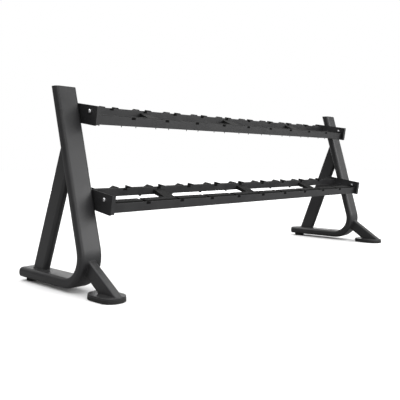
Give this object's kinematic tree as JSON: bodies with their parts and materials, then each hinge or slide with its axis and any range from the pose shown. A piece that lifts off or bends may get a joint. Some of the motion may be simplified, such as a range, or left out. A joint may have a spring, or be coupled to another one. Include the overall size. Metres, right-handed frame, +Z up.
{
  "type": "dumbbell rack",
  "caption": "Two-tier dumbbell rack with leaning tube side frames, sloping rail shelves and moulded pads and saddles that hold each dumbbell.",
  "frame": {"origin": "on the floor, under the middle of the rack's box", "axes": "+X along the shelves, +Y to the rear, +Z up"},
  "size_m": [2.478, 0.728, 0.931],
  "materials": {
    "tube_powder_coat": "satin black powder coat, fine orange peel",
    "shelf_powder_coat": "satin black powder coat on folded sheet",
    "saddle_plastic": "matte moulded black plastic",
    "cap_plastic": "matte moulded black plastic",
    "foot_rubber": "matte black rubber",
    "bright_zinc": "bright zinc plate",
    "black_steel": "blackened steel"
  },
  "bodies": {
    "root": {"left_upright_and_base_tube": "tube_powder_coat", "left_upright_cap": "cap_plastic", "left_base_cap": "cap_plastic", "left_rear_strut": "tube_powder_coat", "left_foot_strut": "tube_powder_coat", "left_foot_plate": "tube_powder_coat", "left_foot_sole": "foot_rubber", "left_rear_foot": "foot_rubber", "right_upright_and_base_tube": "tube_powder_coat", "right_upright_cap": "cap_plastic", "right_base_cap": "cap_plastic", "right_rear_strut": "tube_powder_coat", "right_foot_strut": "tube_powder_coat", "right_foot_plate": "tube_powder_coat", "right_foot_sole": "foot_rubber", "right_rear_foot": "foot_rubber", "lower_front_rail": "shelf_powder_coat", "lower_rear_rail": "shelf_powder_coat", "lower_brace_1": "shelf_powder_coat", "lower_brace_2": "shelf_powder_coat", "lower_brace_3": "shelf_powder_coat", "lower_front_pads_1": "saddle_plastic", "lower_rear_saddles_1": "saddle_plastic", "lower_front_pads_2": "saddle_plastic", "lower_rear_saddles_2": "saddle_plastic", "lower_front_pads_3": "saddle_plastic", "lower_rear_saddles_3": "saddle_plastic", "lower_front_pads_4": "saddle_plastic", "lower_rear_saddles_4": "saddle_plastic", "lower_front_pads_5": "saddle_plastic", "lower_rear_saddles_5": "saddle_plastic", "lower_left_end_plate": "shelf_powder_coat", "lower_left_plate_bolt": "bright_zinc", "lower_left_shelf_bolt": "black_steel", "lower_right_end_plate": "shelf_powder_coat", "lower_right_plate_bolt": "bright_zinc", "lower_right_shelf_bolt": "black_steel", "upper_front_rail": "shelf_powder_coat", "upper_rear_rail": "shelf_powder_coat", "upper_brace_1": "shelf_powder_coat", "upper_brace_2": "shelf_powder_coat", "upper_brace_3": "shelf_powder_coat", "upper_front_pads_1": "saddle_plastic", "upper_rear_saddles_1": "saddle_plastic", "upper_front_pads_2": "saddle_plastic", "upper_rear_saddles_2": "saddle_plastic", "upper_front_pads_3": "saddle_plastic", "upper_rear_saddles_3": "saddle_plastic", "upper_front_pads_4": "saddle_plastic", "upper_rear_saddles_4": "saddle_plastic", "upper_front_pads_5": "saddle_plastic", "upper_rear_saddles_5": "saddle_plastic", "upper_left_end_plate": "shelf_powder_coat", "upper_left_plate_bolt": "bright_zinc", "upper_left_shelf_bolt": "black_steel", "upper_right_end_plate": "shelf_powder_coat", "upper_right_plate_bolt": "bright_zinc", "upper_right_shelf_bolt": "black_steel"}
  },
  "joints": []
}
